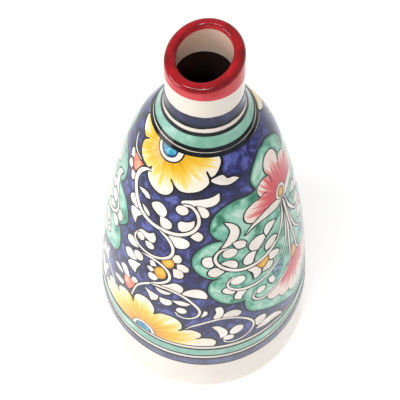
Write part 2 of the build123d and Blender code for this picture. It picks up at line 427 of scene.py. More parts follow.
# A panel's lower corner: one scroll, its bud and its leaves. The other corner has them again, mirrored
# and narrower.
CORNER_SCROLL = [
    (-9.7, 90), (-5.6, 94.8), (0, 98.7), (5.6, 101.5), (10.7, 102.2), (16.2, 100.9), (21.6, 97),
    (25.6, 91.8), (27.6, 85.2), (26, 79), (21.6, 74), (16.2, 72), (12, 73.4), (10.6, 77.4),
]
CORNER_SCROLL_WIDTH = 1.5
CORNER_KNOB = ((13.4, 78.6), 2.9, 2.9)
CORNER_LEAVES = [
    [(4.4, 94), (7.3, 94.6), (10.4, 91.4), (12.6, 86.8), (12.2, 82), (9, 79.4), (8.4, 84.6), (7, 89.4)],
    [(14, 84.5), (15, 88.2), (17.9, 90.6), (20.9, 89.4), (21.4, 85.6), (18.6, 81.9), (15.2, 81.8)],
    [(27.6, 86), (29.6, 89.6), (32.6, 89.9), (35.3, 87.4), (34.4, 83), (30, 80)],
    [
        (28.6, 76.6), (32.9, 80.9), (38, 81.8), (42.4, 80), (45.6, 75.6), (47.3, 71.2), (41, 74.3),
        (34, 74.6),
    ],
    [(9.8, 103), (11.6, 107.4), (15.2, 109.2), (18.6, 108), (20.6, 104.6), (18.4, 101.6), (14, 102.6)],
    [(6.6, 114.2), (9.6, 114.8), (10.8, 110.6), (9.6, 104.6), (6, 102.4), (5.4, 104.6), (6.9, 109.6)],
]
OTHER_CORNER_START = -62.6
OTHER_CORNER_WIDTH = 0.7


def other_corner(points):
    return [(OTHER_CORNER_START - OTHER_CORNER_WIDTH * azimuth, height) for azimuth, height in points]


def half_flower(piece, petals, rim, heart):
    """A flower that is cut off by a ring: petals, the pale rim of its heart, and the blue heart."""
    for part, kind, points, line in (
        (piece, "yellow", petals, PETAL_LINE),
        ("flower_rims", "white", rim, STEM_LINE),
        ("flower_hearts", "heart_blue", heart, KNOB_LINE),
    ):
        samples, _ = smooth(points, False)
        fill(part, kind, samples)
        brush("panel_lines", points, line, taper=False)


def paint_panel():
    half_flower("yellow_flower_upper", YELLOW_UPPER_PETALS, YELLOW_UPPER_RIM, YELLOW_UPPER_HEART)
    half_flower("yellow_flower_lower", YELLOW_LOWER_PETALS, YELLOW_LOWER_RIM, YELLOW_LOWER_HEART)
    for piece, kind, shapes in (
        ("coral_buds", "coral", CORAL_BUDS),
        ("panel_leaves", "white", PANEL_LEAVES),
        ("amber_buds", "amber", AMBER_BUDS),
    ):
        for shape in shapes:
            outlined(piece, kind, "panel_lines", shape, FINE_LINE)
    for line, width in zip(PANEL_SCROLLS, PANEL_SCROLL_WIDTHS):
        scroll("panel_scrolls", "white", "panel_lines", line, width)
    for corner in (list, other_corner):
        for leaf in CORNER_LEAVES:
            outlined("panel_leaves", "white", "panel_lines", corner(leaf), FINE_LINE)
        scroll("panel_scrolls", "white", "panel_lines", corner(CORNER_SCROLL), CORNER_SCROLL_WIDTH)
        centre, half_width, half_height = CORNER_KNOB
        knob("panel_leaves", "white", "panel_lines", corner([centre])[0], half_width, half_height)
    for line in PANEL_LINES:
        brush("panel_lines", line, STEM_LINE)
    for centre, half_width, half_height in PANEL_KNOBS:
        knob("panel_leaves", "white", "panel_lines", centre, half_width, half_height)


# ---- The drawing on a green cartouche: its left half, which is also drawn mirrored about its middle ----

CARTOUCHE_MIDDLE = 62.0
SHIELD_LINE = 0.75
PINK_UPPER_LINE = 0.7
PINK_LOWER_LINE = 0.5
CARTOUCHE_BUD_LINE = 0.5
CARTOUCHE_LEAF_LINE = 0.76
CARTOUCHE_SCROLL_LINE = 0.78
BLUE_DOT_LINE = 0.35
CARTOUCHE_EDGE = [
    (62, 204.6), (56, 204.8), (48, 202.8), (41, 199.8), (37.3, 195.6), (40.4, 189.8),
    (34, 189.4), (26, 189.9), (18, 189), (10, 185.8), (5, 180.6), (4.3, 174.4), (7.6, 169.9), (12.6, 167.4),
    (5.6, 167.2), (-1.6, 163.4), (-6.4, 156.6), (-6, 149.6), (-1.4, 143.8), (4, 140.9), (9.9, 140.7),
    (4.4, 138.2), (2.6, 131.6), (4.6, 125), (9.6, 119.2), (16, 116), (23, 115.4),
    (22.9, 109.5), (25.4, 102.4), (32, 96.4), (41.2, 89.5), (50, 83), (56, 77.6), (62, 72.8),
]
# The far half of the shield is drawn a little narrower than the near one, from its top to its foot
CARTOUCHE_FAR_EDGE = [
    (68, 204.8), (76, 202.8), (83, 199.8), (86.7, 195.6), (83.6, 189.8), (90, 190.4), (98, 190.6),
    (105, 188.8), (110, 185.2), (111.6, 180.4), (110, 175), (105.6, 171.6), (115, 170.5), (120, 168.5),
    (123, 165), (125.5, 160.5), (126, 157.5), (124, 153.5), (120, 149.5), (115, 147.2), (118.4, 146.6),
    (121.5, 143), (123, 138), (123.2, 133.5), (122, 128.5), (119.5, 124.5), (114, 121.5), (109, 119.4),
    (101, 115.4), (101.1, 109.5), (98.6, 102.4), (92, 96.4), (82.8, 89.5), (74, 83), (68, 77.6),
]
FAR_SIDE_WIDTH = 0.93
PINK_UPPER_PETALS = [
    (62, 200.3), (56, 199.5), (52.4, 196.6), (52.8, 193.4), (55, 190.8), (49, 192.2), (43.6, 191.2),
    (40.6, 188.6), (42.6, 183.6), (36, 183.6), (29.6, 181.6), (27.3, 178), (29.3, 174.2), (35, 172.3),
    (46, 174.2), (62, 171),
]
PINK_LOWER_PETALS = [
    (62, 84.6), (57.4, 85), (54.6, 88.4), (54, 92.6), (51, 91.6), (47, 93.6), (45.4, 98),
    (41, 99.4), (37.6, 103.4), (37.4, 107.6), (42, 109.6), (48, 112.4), (55, 118.4), (62, 119.6),
]
PINK_UPPER_RIM = [(62, 179.6), (58, 178.4), (56, 175.2), (57.4, 172.4), (62, 171.4)]
PINK_UPPER_HEART = [(62, 177.9), (59.4, 177), (58.2, 174.8), (59.4, 172.8), (62, 172)]
PINK_LOWER_HEART = [(62, 129.4), (59.8, 125.4), (58.2, 121), (59.4, 118.8), (62, 117.8)]
CARTOUCHE_LEAVES = [
    [
        (26.6, 167.2), (32, 171), (40.8, 173.7), (49.1, 174.3), (58, 173), (63, 170.6), (54.7, 169.4),
        (44, 170.2), (34, 170),
    ],
    [
        (13.6, 179), (19.4, 176.8), (22.8, 172.6), (21.6, 167.6), (17.6, 164.6), (9.6, 161.8), (14.6, 168),
        (16.9, 173.4),
    ],
    [(17.8, 164.6), (22.4, 165), (26.4, 162.6), (25.6, 159.4), (20.9, 159.9)],
    [(-0.9, 154.3), (0.8, 157.2), (5.2, 157), (6, 153.4), (4.4, 150), (0.6, 150.8)],
    [(2.6, 146.2), (5, 149), (8.8, 148.8), (12, 145.4), (7, 142.3), (3.4, 143.6)],
    [(9.8, 151.9), (14.6, 153.2), (19, 151.4), (20, 147.8), (18.4, 145.6), (13.6, 149.4)],
    [(29.1, 145.4), (24.4, 146.2), (24, 150.4), (27.4, 153.2), (33.4, 153.4), (30.8, 149.4)],
    [(35, 153.1), (29.4, 154.7), (28, 158.4), (31, 161.2), (36.6, 161.7), (40.4, 158.8)],
    [(40.8, 158.6), (40, 162.8), (43.4, 165.6), (50.4, 163.6), (45.8, 160)],
    [(39.1, 148), (39, 151.8), (42.4, 154.4), (46.6, 154.3), (49.4, 152.2), (43.6, 148.4)],
    [(25.6, 141.2), (31.4, 140.6), (34.3, 135.4), (32.4, 131.8), (29.4, 131.2), (28.8, 136.8)],
    [(34.8, 133.2), (37, 137.4), (41, 140), (43, 136), (40.6, 132.4)],
    [(40.6, 144.4), (45.8, 143.1), (48.8, 139.8), (46.6, 137.3), (41.2, 138.8)],
    [(10.6, 128.6), (11.6, 131.4), (14.6, 130.9), (17.7, 127.2), (15.6, 124.8)],
    [(19, 126.2), (24.9, 124.8), (22, 121.6), (20.6, 117.9), (17, 120.6)],
    [(38.2, 123.4), (41.8, 123.3), (43.8, 120.2), (41.8, 115.7), (39.4, 118.8)],
]
CARTOUCHE_AMBER = [(31.2, 141.8), (40.4, 143.7), (39.9, 139.7), (36.1, 136.6), (33.2, 138.2)]
CARTOUCHE_SCROLLS = [
    [
        (52.4, 151.2), (43, 146), (35, 143.6), (27, 142.9), (20, 144), (13, 147.3),
        (8, 152), (6.9, 157), (10.2, 161.2), (15.4, 161.6),
    ],
    [
        (50, 133.4), (42.4, 129.4), (35, 126.9), (27.4, 126), (20, 127.3), (14.6, 131), (13.6, 135.4),
        (17.2, 139.4),
    ],
    [(55.6, 117), (50, 113.2), (43, 110.5), (36, 108.5), (30.6, 110.2), (27.9, 114.8), (29.8, 119.4)],
    [(60, 170.4), (58.6, 163.4), (56, 158), (52.4, 152.4), (48, 147.6)],
    [(61.3, 170.4), (60.6, 161), (58.3, 150), (55.6, 140.4), (51, 133.6)],
    [(61.9, 170.4), (61, 152), (59, 136), (57.6, 122), (55.6, 117)],
]
CARTOUCHE_SCROLL_WIDTHS = [2.0, 1.8, 1.7, 1.6, 1.5, 1.5]
CARTOUCHE_KNOBS = [
    ((15.8, 158.3), 4.6, 3.1),
    ((19.6, 135.7), 4.4, 3.3),
    ((33, 118), 3, 2.8),
]
CARTOUCHE_LINES = [
    [(57.6, 164.4), (51, 162.8), (44.6, 159.6), (37.6, 155.6), (32.6, 150.6), (29.4, 146)],
    [(42.4, 183.5), (45.4, 184.6), (48.4, 184.4)],
    [(54.8, 190.9), (55.4, 188.6), (55.2, 186.2)],
    [(26.4, 139.4), (28.2, 135.6), (28.6, 131.4)],
]
BLUE_DOTS = [
    ((44.6, 126.4), 2.6, 2.0),
    ((48.6, 128.4), 2.2, 1.7),
    ((47.6, 123.8), 2.0, 1.8),
    ((44.4, 121.6), 1.8, 1.6),
]


def mirrored(points):
    middle = CARTOUCHE_MIDDLE
    return [(middle + FAR_SIDE_WIDTH * (middle - azimuth), height) for azimuth, height in points]


def both_sides(left_half):
    """A closed outline from its left half, which starts and ends on the cartouche's middle."""
    return list(left_half) + mirrored(left_half)[-2:0:-1]


def paint_cartouche():
    lines = "cartouche_lines"
    outlined("green_cartouche", "green", lines, CARTOUCHE_EDGE + CARTOUCHE_FAR_EDGE[::-1], SHIELD_LINE)
    outlined("pink_flower_upper", "pink", lines, both_sides(PINK_UPPER_PETALS), PINK_UPPER_LINE)
    outlined("pink_flower_lower", "pink", lines, both_sides(PINK_LOWER_PETALS), PINK_LOWER_LINE)
    for side in (list, mirrored):
        for leaf in CARTOUCHE_LEAVES:
            outlined("cartouche_leaves", "white", lines, side(leaf), CARTOUCHE_LEAF_LINE)
        for centre, half_width, half_height in BLUE_DOTS:
            knob("blue_dots", "pale_blue", lines, side([centre])[0], half_width, half_height, BLUE_DOT_LINE)
        outlined("cartouche_amber_buds", "amber", lines, side(CARTOUCHE_AMBER), CARTOUCHE_BUD_LINE)
        for line, width in zip(CARTOUCHE_SCROLLS, CARTOUCHE_SCROLL_WIDTHS):
            scroll("cartouche_scrolls", "white", lines, side(line), width, CARTOUCHE_SCROLL_LINE)
        for line in CARTOUCHE_LINES:
            brush(lines, side(line), STEM_LINE)
        for centre, half_width, half_height in CARTOUCHE_KNOBS:
            knob("cartouche_leaves", "white", lines, side([centre])[0], half_width, half_height)
    outlined("cartouche_leaves", "white", lines, both_sides(PINK_UPPER_RIM), CARTOUCHE_BUD_LINE)
    outlined("ochre_hearts", "ochre", lines, both_sides(PINK_UPPER_HEART), FINE_LINE)
    outlined("ochre_hearts", "ochre", lines, both_sides(PINK_LOWER_HEART), FINE_LINE)


# ---- The rings above and below the painted field ----

FIELD = (70.3, 210.7)
# Piece, its CAD node or None, and kind; then the lower and the upper edge, each as its mean height and how
# far it sags in front and rises at the sides; then how unsteady the edges are
RINGS = [
    ("neck_cobalt", "neck_cobalt_band", "ring_cobalt", (222.0, 0.0), (228.2, 0.1), 0.22),
    ("neck_cobalt_edge", None, "black", (221.8, 0.0), (223.3, 0.3), 0.2),
    ("neck_black_top", "neck_black_ring_top", "black", (218.1, 0.0), (219.9, 0.1), 0.1),
    ("neck_mint", "neck_mint_band", "mint", (213.8, 0.2), (218.3, 0.0), 0.0),
    ("neck_black_middle", "neck_black_ring_middle", "black", (212.9, 0.5), (214.1, 0.2), 0.08),
    ("neck_black_bottom", "neck_black_ring_bottom", "black", (211.0, 0.4), (212.45, 0.3), 0.08),
    ("foot_black_top", "foot_black_ring_top", "black", (69.2, -0.2), (70.4, -0.2), 0.1),
    ("foot_black_upper", "foot_black_ring_upper", "black", (65.4, 1.1), (66.9, 1.1), 0.12),
    ("foot_mint", "foot_mint_band", "mint", (58.2, 0.8), (65.8, 1.1), 0.0),
    ("foot_black_lower", "foot_black_ring_lower", "black", (56.7, 0.8), (58.3, 0.8), 0.15),
    ("foot_black_bottom", "foot_black_ring_bottom", "black", (51.8, 0.5), (53.2, 0.5), 0.12),
    ("foot_blue", "foot_blue_band", "ring_blue", (44.2, 1.1), (52.1, 0.5), 0.0),
    ("foot_blue_edge", None, "black", (43.9, 1.1), (44.7, 1.1), 0.2),
]
RING_STEP = 2.0
LOWEST_AZIMUTH = 15.0       # where the rings sag most
WAVES = (2, 5, 9)           # waves of unsteadiness round half a turn
WAVE_SHIFT = 1.7            # moves the waves from one ring to the next
WAVE_SHARE = 0.6


def ring_edge(height, rise, waver):
    """The edge of a ring over the strip and a little beyond, repeating after half a turn."""
    azimuths = np.arange(STRIP_START - 2 * RING_STEP, STRIP_START + HALF_TURN + 3 * RING_STEP, RING_STEP)
    sag = -np.cos(np.radians(2 * (azimuths - LOWEST_AZIMUTH)))
    unsteady = np.zeros(len(azimuths))
    for wave in WAVES:
        unsteady += np.sin(np.radians(2 * wave * azimuths) + height * wave * WAVE_SHIFT) / wave**0.5
    return np.stack([azimuths, height + rise * sag + waver * unsteady * WAVE_SHARE], axis=1)


def paint_rings():
    for piece, _, kind, low, high, waver in RINGS:
        lower = ring_edge(*low, waver)
        upper = ring_edge(*high, waver)
        for i in range(len(lower) - 1):
            painting.append((piece, kind, np.array([lower[i], lower[i + 1], upper[i + 1], upper[i]])))
        if kind == "black":
            line_points.extend((lower + upper) / 2)


# ---- From the drawing to thin solids ----

# Thickness of each kind of enamel over the glaze
THICKNESS = {
    "black": 0.23, "white": 0.2, "cobalt": 0.16, "green": 0.17, "yellow": 0.19, "pink": 0.19,
    "heart_blue": 0.18, "coral": 0.18, "amber": 0.18, "ochre": 0.18, "pale_blue": 0.18, "mint": 0.17,
    "ring_cobalt": 0.17, "ring_blue": 0.17,
}
GRID_AZIMUTH = 2.0
GRID_HEIGHT = 2.0
ROUNDING = 0.1              # lets a range of grid lines reach its end
OVERLAP = 4.0               # degrees drawn past each end of the strip
MERGE_DISTANCE = 1e-5
PAINT_LOW, PAINT_HIGH = 42.0, 229.0
PLACE_NAMES = {"panel": ("front", "back"), "cartouche": ("right", "left")}


def drawing():
    """Paints the whole half turn, with copies from the neighbouring half turns."""
    everything = []
    low, high = FIELD
    ends = (STRIP_START - OVERLAP, STRIP_START + HALF_TURN + OVERLAP)
    for start in np.arange(ends[0], ends[1], GRID_AZIMUTH):
        end = start + GRID_AZIMUTH
        ground = np.array([(start, low), (end, low), (end, high), (start, high)])
        everything.append(("cobalt_ground", "cobalt", 0, ground))
    for place, paint in (("cartouche", paint_cartouche), ("panel", paint_panel)):
        paint()
        jobs = list(painting)
        painting.clear()
        for copy in (-1, 0, 1):
            shift = np.array([copy * HALF_TURN, 0])
            for piece, kind, polygon in jobs:
                moved = polygon + shift
                if moved[:, 0].max() > ends[0] and moved[:, 0].min() < ends[1]:
                    everything.append((f"{piece}@{place}", kind, copy, moved))
    paint_rings()
    for piece, kind, polygon in painting:
        everything.append((piece, kind, 0, polygon))
    return everything


def flat_mesh(jobs):
    """Cuts the strip into triangles along every outline: points, triangles, and the job on top of each."""
    verts, edges = [], []
    heights = np.arange(PAINT_LOW, PAINT_HIGH + ROUNDING, GRID_HEIGHT)
    azimuths = STRIP_START + np.arange(0, HALF_TURN + ROUNDING, GRID_AZIMUTH)
    for column, azimuth in enumerate(azimuths):
        for row, height in enumerate(heights):
            verts.append(Vector((azimuth, height)))
            if row and column in (0, len(azimuths) - 1):
                edges.append((len(verts) - 2, len(verts) - 1))
    for _, _, _, polygon in jobs:
        first = len(verts)
        verts.extend(Vector(p) for p in polygon)
        count = len(polygon)
        edges.extend((first + i, first + (i + 1) % count) for i in range(count))
    points, _, triangles, _, _, _ = delaunay_2d_cdt(verts, edges, [], 0, MERGE_DISTANCE)
    points = np.array([(p.x, p.y) for p in points])
    triangles = np.array(triangles)
    centres = points[triangles].mean(axis=1)
    within = (centres[:, 0] > STRIP_START) & (centres[:, 0] < STRIP_START + HALF_TURN)
    triangles, centres = triangles[within], centres[within]
    tops = top_jobs(centres, jobs)
    return points, triangles[tops >= 0], tops[tops >= 0]


def winds_round(centres, polygon):
    """Which of the points a polygon goes round, even where it crosses itself."""
    turns = np.zeros(len(centres), int)
    x, y = centres[:, 0], centres[:, 1]
    for (x1, y1), (x2, y2) in zip(polygon, np.roll(polygon, -1, axis=0)):
        left = (x2 - x1) * (y - y1) - (x - x1) * (y2 - y1)
        turns += (y1 <= y) & (y2 > y) & (left > 0)
        turns -= (y1 > y) & (y2 <= y) & (left < 0)
    return turns != 0


def top_jobs(centres, jobs):
    """The last painted job over each point, or -1."""
    order = np.argsort(centres[:, 0])
    sorted_azimuths = centres[order, 0]
    tops = np.full(len(centres), -1)
    for number, (_, _, _, polygon) in enumerate(jobs):
        low, high = polygon.min(axis=0), polygon.max(axis=0)
        first, last = np.searchsorted(sorted_azimuths, (low[0], high[0]))
        near = order[first:last]
        near = near[(centres[near, 1] >= low[1]) & (centres[near, 1] <= high[1])]
        if len(near):
            tops[near[winds_round(centres[near], polygon)]] = number
    return tops


def whole_turn(points, triangles):
    """Both half turns in one drawing, joined along their seams: azimuths, heights and triangles."""
    azimuths = np.concatenate([points[:, 0], points[:, 0] + HALF_TURN])
    heights = np.tile(points[:, 1], 2)
    keys = np.round(np.stack([azimuths % 360, heights], axis=1), 3)
    keys[:, 0] %= 360
    _, first, same = np.unique(keys, axis=0, return_index=True, return_inverse=True)
    both = np.vstack([triangles, triangles + len(points)])
    return azimuths[first], heights[first], same.ravel()[both]


def distances_to_lines(positions):
    """How far each point is from the nearest black line, in millimetres."""
    lines = np.array(line_points)
    lines = np.vstack([lines, lines + np.array([HALF_TURN, 0])])
    centres, _ = on_surface(lines[:, 0], lines[:, 1], 0)
    tree = kdtree.KDTree(len(centres))
    for i, centre in enumerate(centres):
        tree.insert(centre, i)
    tree.balance()
    return np.array([tree.find(p)[2] for p in positions]) / MM - LINE / 2


# For the streaks, each flower's heart and the reach of its petals: azimuth, height, half width, half height
FLOWERS = {
    "yellow_flower_upper": (-35, 212, 27, 21),
    "yellow_flower_lower": (-33, 71, 42, 38),
    "pink_flower_upper": (62, 173, 29, 27),
    "pink_flower_lower": (62, 122, 25, 36),
}


def flower_of(name):
    """The flower that a piece belongs to, from the piece's name."""
    return name.removeprefix("paint_").rsplit("_", 1)[0]


def flower_fields(name, azimuths, heights):
    """How far each vertex is from the flower's heart, 1 at the petals' tips, and in which direction."""
    heart_azimuth, heart_height, half_width, half_height = FLOWERS[flower_of(name)]
    away = (azimuths - heart_azimuth + HALF_TURN / 2) % HALF_TURN - HALF_TURN / 2
    across = away * scale_at(heights)[0]
    up = heights - heart_height
    return np.hypot(across / half_width, up / half_height), np.arctan2(up / half_height, across / half_width)


def solid_piece(name, azimuths, heights, tops, lifts, distances):
    """A closed thin solid from triangles of the drawing, standing on the glaze."""
    used, local = np.unique(tops, return_inverse=True)
    local = local.reshape(tops.shape)
    top_points, normals = on_surface(azimuths[used], heights[used], lifts[used])
    bottom_points, _ = on_surface(azimuths[used], heights[used], -ENAMEL)
    count = len(used)
    sides = np.concatenate([local[:, [0, 1]], local[:, [1, 2]], local[:, [2, 0]]])
    present = set(map(tuple, sides.tolist()))
    border = [(a, b) for a, b in sides.tolist() if (b, a) not in present]
    faces = local.tolist() + (local[:, ::-1] + count).tolist()
    faces += [(b, a, a + count, b + count) for a, b in border]
    mesh = bpy.data.meshes.new(name)
    mesh.from_pydata(np.vstack([top_points, bottom_points]).tolist(), [], faces)
    mesh.polygons.foreach_set("use_smooth", np.ones(len(faces), bool))
    mesh.update()
    mesh.normals_split_custom_set_from_vertices(np.vstack([normals, -normals]).tolist())
    add_field(mesh, "edge", distances[used])
    if flower_of(name) in FLOWERS:
        ray, spin = flower_fields(name, azimuths[used], heights[used])
        add_field(mesh, "ray", ray)
        add_field(mesh, "spin", spin)
    piece = bpy.data.objects.new(name, mesh)
    bpy.context.scene.collection.objects.link(piece)
    return piece


def add_field(mesh, name, values):
    """A number on each vertex, the same above and below."""
    field = mesh.attributes.new(name, "FLOAT", "POINT")
    field.data.foreach_set("value", np.tile(values, 2).astype(np.float32))


def painted_pieces():
    """Every painted piece as (object, kind)."""
    jobs = drawing()
    points, triangles, tops = flat_mesh(jobs)
    azimuths, heights, triangles = whole_turn(points, triangles)
    names = []
    for half in (0, 1):
        for job in tops:
            piece, _, copy, _ = jobs[job]
            base, _, place = piece.partition("@")
            names.append(f"{base}_{PLACE_NAMES[place][(copy + half) % 2]}" if place else base)
    names = np.array(names)
    kinds = np.array([jobs[job][1] for job in tops] * 2)
    whole = (triangles[:, 0] != triangles[:, 1]) & (triangles[:, 1] != triangles[:, 2])
    whole &= triangles[:, 2] != triangles[:, 0]
    triangles, names, kinds = triangles[whole], names[whole], kinds[whole]
    # each vertex is as thick as the colours round it are on average, so the surface is unbroken
    thickness = np.array([THICKNESS[kind] for kind in kinds])
    total = np.bincount(triangles.ravel(), np.repeat(thickness, 3), len(azimuths))
    number = np.bincount(triangles.ravel(), minlength=len(azimuths))
    lifts = total / np.maximum(number, 1) - ENAMEL
    positions, _ = on_surface(azimuths, heights, lifts)
    distances = distances_to_lines(positions)
    made = []
    for name in sorted(set(names)):
        chosen = names == name
        piece = solid_piece(f"paint_{name}", azimuths, heights, triangles[chosen], lifts, distances)
        made.append((piece, kinds[chosen][0]))
    return made


# ---- Materials ----


def colour(red, green, blue):
    """A colour given as it looks on a screen, 0 to 255, in the shader's own linear numbers."""
    channels = []
    for value in (red, green, blue):
        share = value / 255
        channels.append(share / 12.92 if share <= 0.04045 else ((share + 0.055) / 1.055) ** 2.4)
    return (*channels, 1.0)


def connect(node, **sockets):
    """Gives sockets of a node a constant or a link. In their names an underscore stands for a space."""
    for name, value in sockets.items():
        target = node.inputs[name.replace("_", " ")]
        if isinstance(value, bpy.types.NodeSocket):
            node.id_data.links.new(value, target)
        else:
            target.default_value = value


SWELL_SCALE = 260
SWELL_DEPTH = 0.00004


class Recipe:
    """Nodes of one material, with a Principled shader at the end."""

    def __init__(self, name, roughness=0.16, coat=0.0, specular=0.35):
        self.material = bpy.data.materials.new(name)
        self.material.use_nodes = True
        self.tree = self.material.node_tree
        self.shader = self.tree.nodes["Principled BSDF"]
        connect(self.shader, Roughness=roughness, Coat_Weight=coat, Coat_Roughness=0.05)
        connect(self.shader, Specular_IOR_Level=specular)

    def node(self, kind, **settings):
        made = self.tree.nodes.new(kind)
        for key, value in settings.items():
            setattr(made, key, value)
        return made

    def place(self):
        return self.node("ShaderNodeTexCoord").outputs["Object"]

    def field(self, name):
        return self.node("ShaderNodeAttribute", attribute_name=name).outputs["Fac"]

    def noise(self, vector, scale, detail=4.0, distortion=0.0, roughness=0.5, seed=0.0):
        made = self.node("ShaderNodeTexNoise", noise_dimensions="4D")
        connect(made, Vector=vector, W=seed, Scale=scale, Detail=detail)
        connect(made, Distortion=distortion, Roughness=roughness)
        return made.outputs["Fac"]

    def between(self, value, low, high):
        """value mapped smoothly from low..high to 0..1."""
        made = self.node("ShaderNodeMapRange", interpolation_type="SMOOTHSTEP")
        connect(made, Value=value, From_Min=low, From_Max=high, To_Min=0.0, To_Max=1.0)
        return made.outputs["Result"]

    def axes(self, vector):
        """The X, Y and Z of a vector."""
        parts = self.node("ShaderNodeSeparateXYZ")
        connect(parts, Vector=vector)
        return parts.outputs

    def maths(self, operation, first, second=0.0):
        made = self.node("ShaderNodeMath", operation=operation)
        for socket, value in zip(made.inputs, (first, second)):
            if isinstance(value, (int, float)):
                socket.default_value = value
            else:
                self.tree.links.new(value, socket)
        return made.outputs["Value"]

    def mix(self, share, first, second):
        made = self.node("ShaderNodeMix", data_type="RGBA")
        connect(made, Factor=share)
        for socket, value in (("A", first), ("B", second)):
            target = [i for i in made.inputs if i.name == socket and i.type == "RGBA"][0]
            if isinstance(value, tuple):
                target.default_value = value
            else:
                self.tree.links.new(value, target)
        return [o for o in made.outputs if o.type == "RGBA"][0]

    def ramp(self, share, stops):
        made = self.node("ShaderNodeValToRGB")
        connect(made, Fac=share)
        elements = made.color_ramp.elements
        elements[0].position, elements[0].color = stops[0]
        elements[1].position, elements[1].color = stops[-1]
        for position, value in stops[1:-1]:
            elements.new(position).color = value
        return made.outputs["Color"]

    def finish(self, base, height, depth):
        """Base colour, and a bump of that height field with that depth in metres."""
        bump = self.node("ShaderNodeBump")
        connect(bump, Distance=depth, Height=height)
        connect(self.shader, Base_Color=base, Normal=bump.outputs["Normal"])
        return self.material

    def glazed(self, base, place):
        """Base colour, with the faint swell of a fired glaze."""
        return self.finish(base, self.noise(place, SWELL_SCALE, detail=2), SWELL_DEPTH)


def watercolour(
    name, dark, middle, light, scale, edge=None, reach=1.5, spread=0.12, coat=0.12, specular=0.35, seed=0.0
):
    """Glossy enamel whose colour pools as washed brush strokes do, deeper beside the black lines."""
    recipe = Recipe(name, coat=coat, specular=specular)
    place = recipe.place()
    pools = recipe.noise(place, scale, detail=5, distortion=1.1, roughness=0.6, seed=seed)
    stops = [(0.5 - spread, colour(*dark)), (0.5, colour(*middle)), (0.5 + spread, colour(*light))]
    base = recipe.ramp(pools, stops)
    if edge:
        waver = recipe.noise(place, scale * 4, detail=2)
        near = recipe.maths("ADD", recipe.field("edge"), recipe.maths("MULTIPLY", waver, -0.8))
        base = recipe.mix(recipe.between(near, -0.3, reach), colour(*edge), base)
    return recipe.glazed(base, place)


STROKES_ROUND = 13.0        # how close the strokes lie round the heart
STROKES_OUT = 1.3           # and how much they change on the way out
FINE_SCALE, FINE_SHARE = 1.6, 0.95
BROAD_SCALE, BROAD_SHARE = 0.55, 0.5
HEART_REACH = 0.15
RIM_FADE = 0.1


def streaked(name, heart, middle, tip, rim, throat_reach, tip_reach):
    """Petal enamel: fine strokes run out from the heart and fade into the pale tips."""
    recipe = Recipe(name, coat=0.12)
    place = recipe.place()
    ray = recipe.field("ray")
    spin = recipe.field("spin")
    strokes = recipe.node("ShaderNodeCombineXYZ")
    connect(strokes, X=recipe.maths("MULTIPLY", spin, STROKES_ROUND))
    connect(strokes, Y=recipe.maths("MULTIPLY", ray, STROKES_OUT))
    fine = recipe.noise(strokes.outputs["Vector"], FINE_SCALE, detail=3, roughness=0.6)
    broad = recipe.noise(strokes.outputs["Vector"], BROAD_SCALE, detail=1)
    shifted = ray
    for streaks, share in ((fine, FINE_SHARE), (broad, BROAD_SHARE)):
        swing = recipe.maths("MULTIPLY", recipe.maths("SUBTRACT", streaks, 0.5), share)
        shifted = recipe.maths("ADD", shifted, swing)
    reaches = (HEART_REACH, throat_reach, tip_reach, tip_reach + RIM_FADE)
    stops = [(reach, colour(*shade)) for reach, shade in zip(reaches, (heart, middle, tip, rim))]
    return recipe.glazed(recipe.ramp(shifted, stops), place)


BUFF_HEIGHTS = (0.0045, 0.0075)     # in metres: buff clay below these, clay painted near-black with shade above
LIP_SHADE_FACING = (0.0, 0.5)           # how far up the red faces, where it turns to the darker red of painted shade
LIP_LIT_FACING = (0.75, 0.96)            # and where it turns to the lit crimson of painted light on the crest
BORE_RADII = (0.0116, 0.0128)       # in metres: warm thin glaze inside these, cream glaze outside


def bare_clay():
    """Buff clay on the standing ring, and near-black painted shade over the clay down the bore."""
    recipe = Recipe("bare_clay", 0.85)
    place = recipe.place()
    grain = recipe.noise(place, 900, detail=6, roughness=0.7)
    # the near-black clay up the bore is painted shade, because little light reaches down it; the cloud only
    # varies how dark it is
    bore_shade_cloud = recipe.noise(place, 70, detail=4)
    buff = recipe.ramp(grain, [(0.3, colour(176, 138, 108)), (0.7, colour(206, 170, 138))])
    dark = recipe.ramp(bore_shade_cloud, [(0.3, colour(14, 6, 3)), (0.7, colour(54, 25, 14))])
    base = recipe.mix(recipe.between(recipe.axes(place)["Z"], *BUFF_HEIGHTS), buff, dark)
    return recipe.finish(base, grain, 0.00025)


def lip_red():
    """Thick red enamel, coloured by which way it faces: rosy down the side, painted shade over the lip's
    shoulder and painted light in crimson on its crest.
    """
    recipe = Recipe("lip_red", 0.045)
    place = recipe.place()
    pools = recipe.noise(place, 150, detail=4, distortion=0.8)
    # lit and shaded copies of one red, picked below by how far up the surface faces: the dark red is painted
    # shade, the crimson painted light
    rosy = recipe.ramp(pools, [(0.35, colour(190, 40, 48)), (0.65, colour(214, 66, 72))])
    dark = recipe.ramp(pools, [(0.35, colour(118, 2, 12)), (0.65, colour(164, 10, 22))])
    lit_crest_red = recipe.ramp(pools, [(0.35, colour(146, 4, 16)), (0.65, colour(190, 12, 28))])
    facing_up = recipe.axes(recipe.node("ShaderNodeNewGeometry").outputs["Normal"])["Z"]
    red_with_painted_shade = recipe.mix(recipe.between(facing_up, *LIP_SHADE_FACING), rosy, dark)
    base = recipe.mix(recipe.between(facing_up, *LIP_LIT_FACING), red_with_painted_shade, lit_crest_red)
    swell = recipe.noise(place, 240, detail=3)
    return recipe.finish(base, swell, 0.00022)


